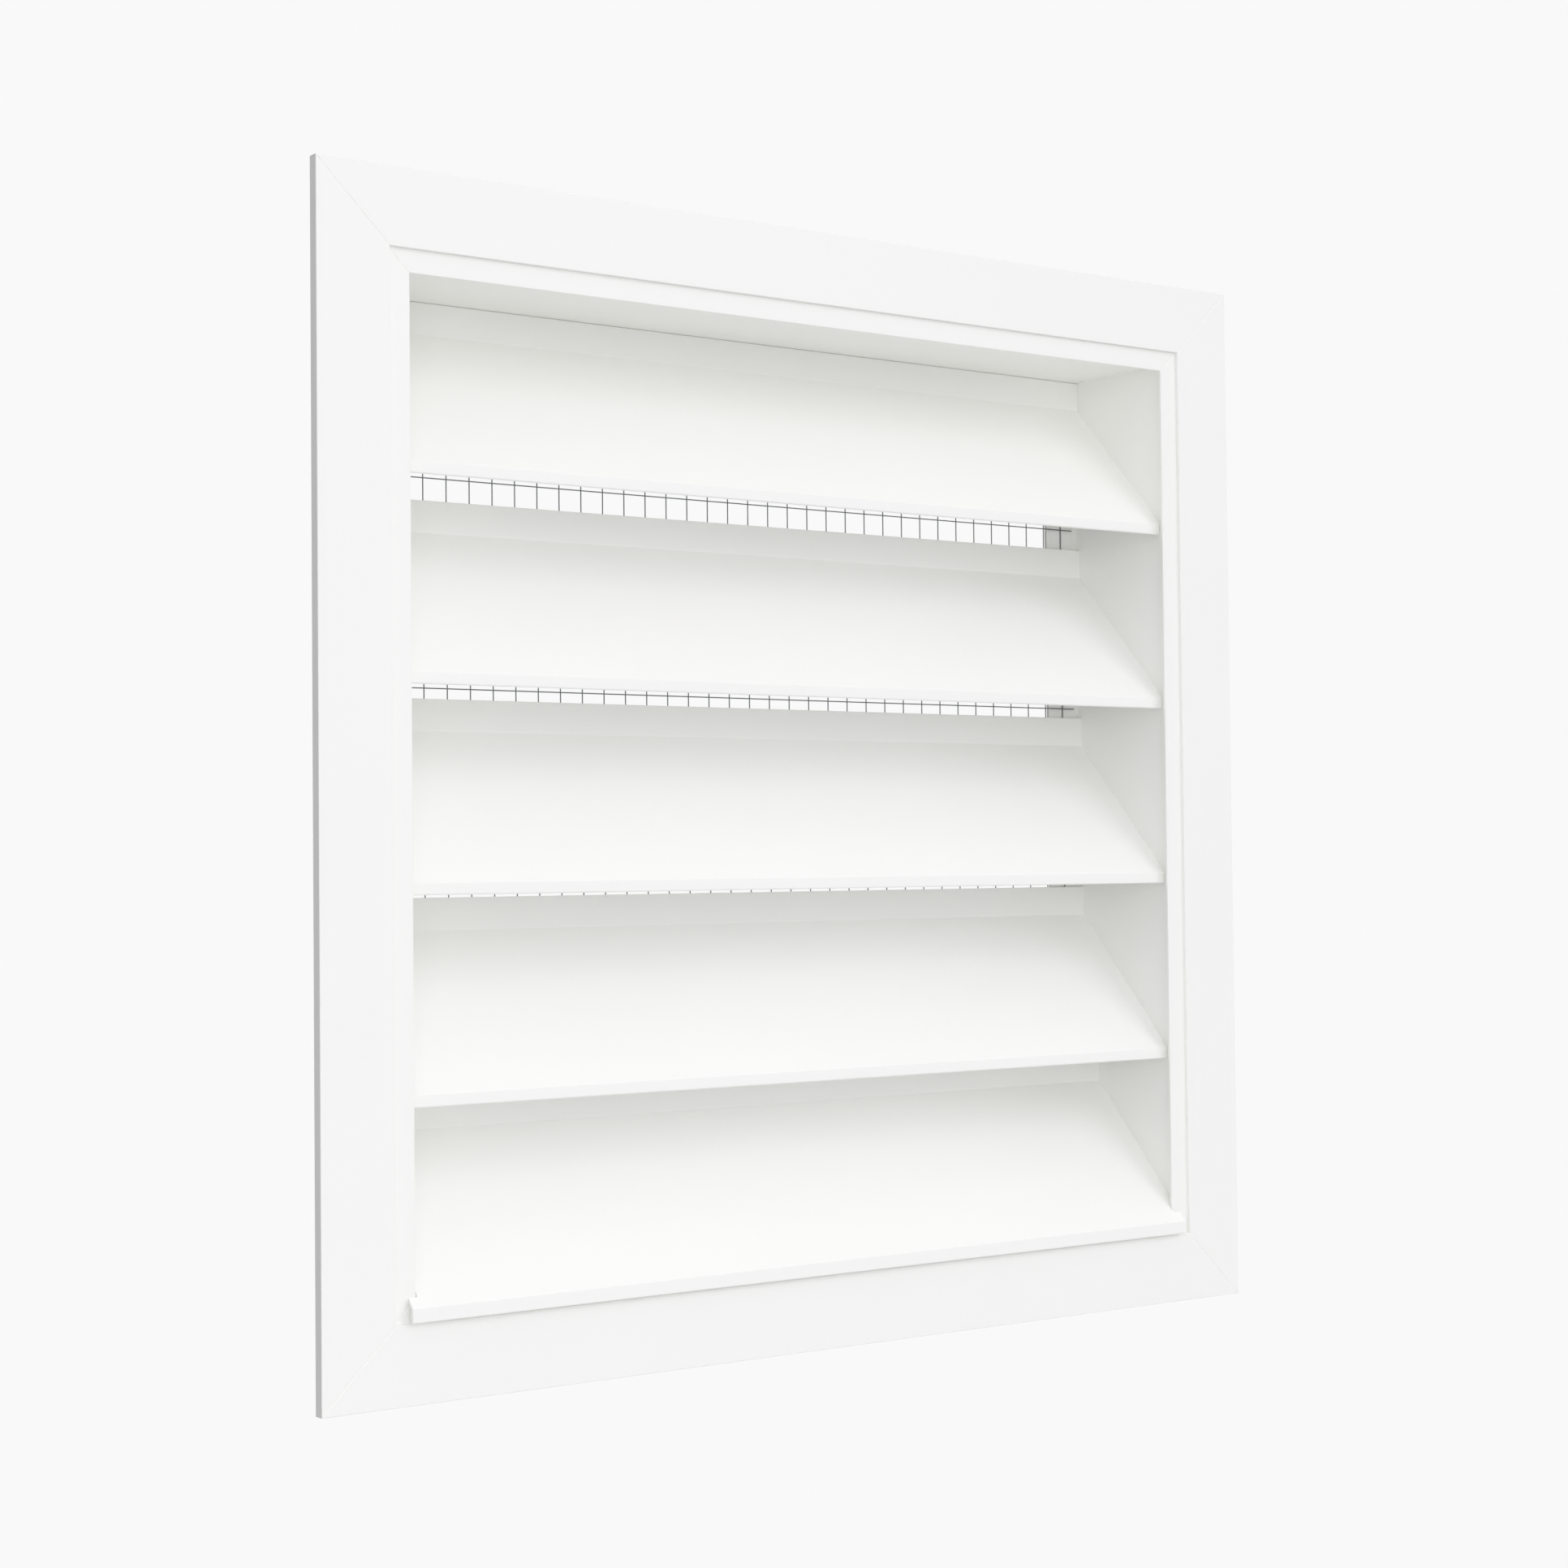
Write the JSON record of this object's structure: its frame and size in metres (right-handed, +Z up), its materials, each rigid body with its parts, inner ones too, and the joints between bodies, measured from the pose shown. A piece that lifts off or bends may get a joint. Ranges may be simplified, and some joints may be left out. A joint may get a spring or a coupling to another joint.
{
  "type": "ventilation grille",
  "caption": "Square wall louvre: mitred flanged frame, fixed sloping blades with drip noses and rear upstands, a sill blade that projects over the flange, and a wire mesh behind.",
  "frame": {"origin": "centre of the flange's seating plane, where its rim meets the wall round the opening", "axes": "+Y from the front into the wall, +Z up, +X to the right seen from the front, along the blades"},
  "size_m": [0.58, 0.0871, 0.58],
  "materials": {
    "white_powder_coat": "satin",
    "mill_aluminium": "satin",
    "stainless_steel": "satin",
    "galvanised_wire": "matte"
  },
  "bodies": {
    "root": {"bird_mesh": "galvanised_wire", "blade_screws_left": "stainless_steel", "blade_screws_right": "stainless_steel", "corner_cleat_bottom_left": "mill_aluminium", "corner_cleat_bottom_right": "mill_aluminium", "corner_cleat_top_left": "mill_aluminium", "corner_cleat_top_right": "mill_aluminium", "frame_bottom": "white_powder_coat", "frame_left": "white_powder_coat", "frame_right": "white_powder_coat", "frame_top": "white_powder_coat", "louvre_blade_1": "white_powder_coat", "louvre_blade_2": "white_powder_coat", "louvre_blade_3": "white_powder_coat", "louvre_blade_4": "white_powder_coat", "sill_blade": "white_powder_coat"}
  },
  "joints": []
}
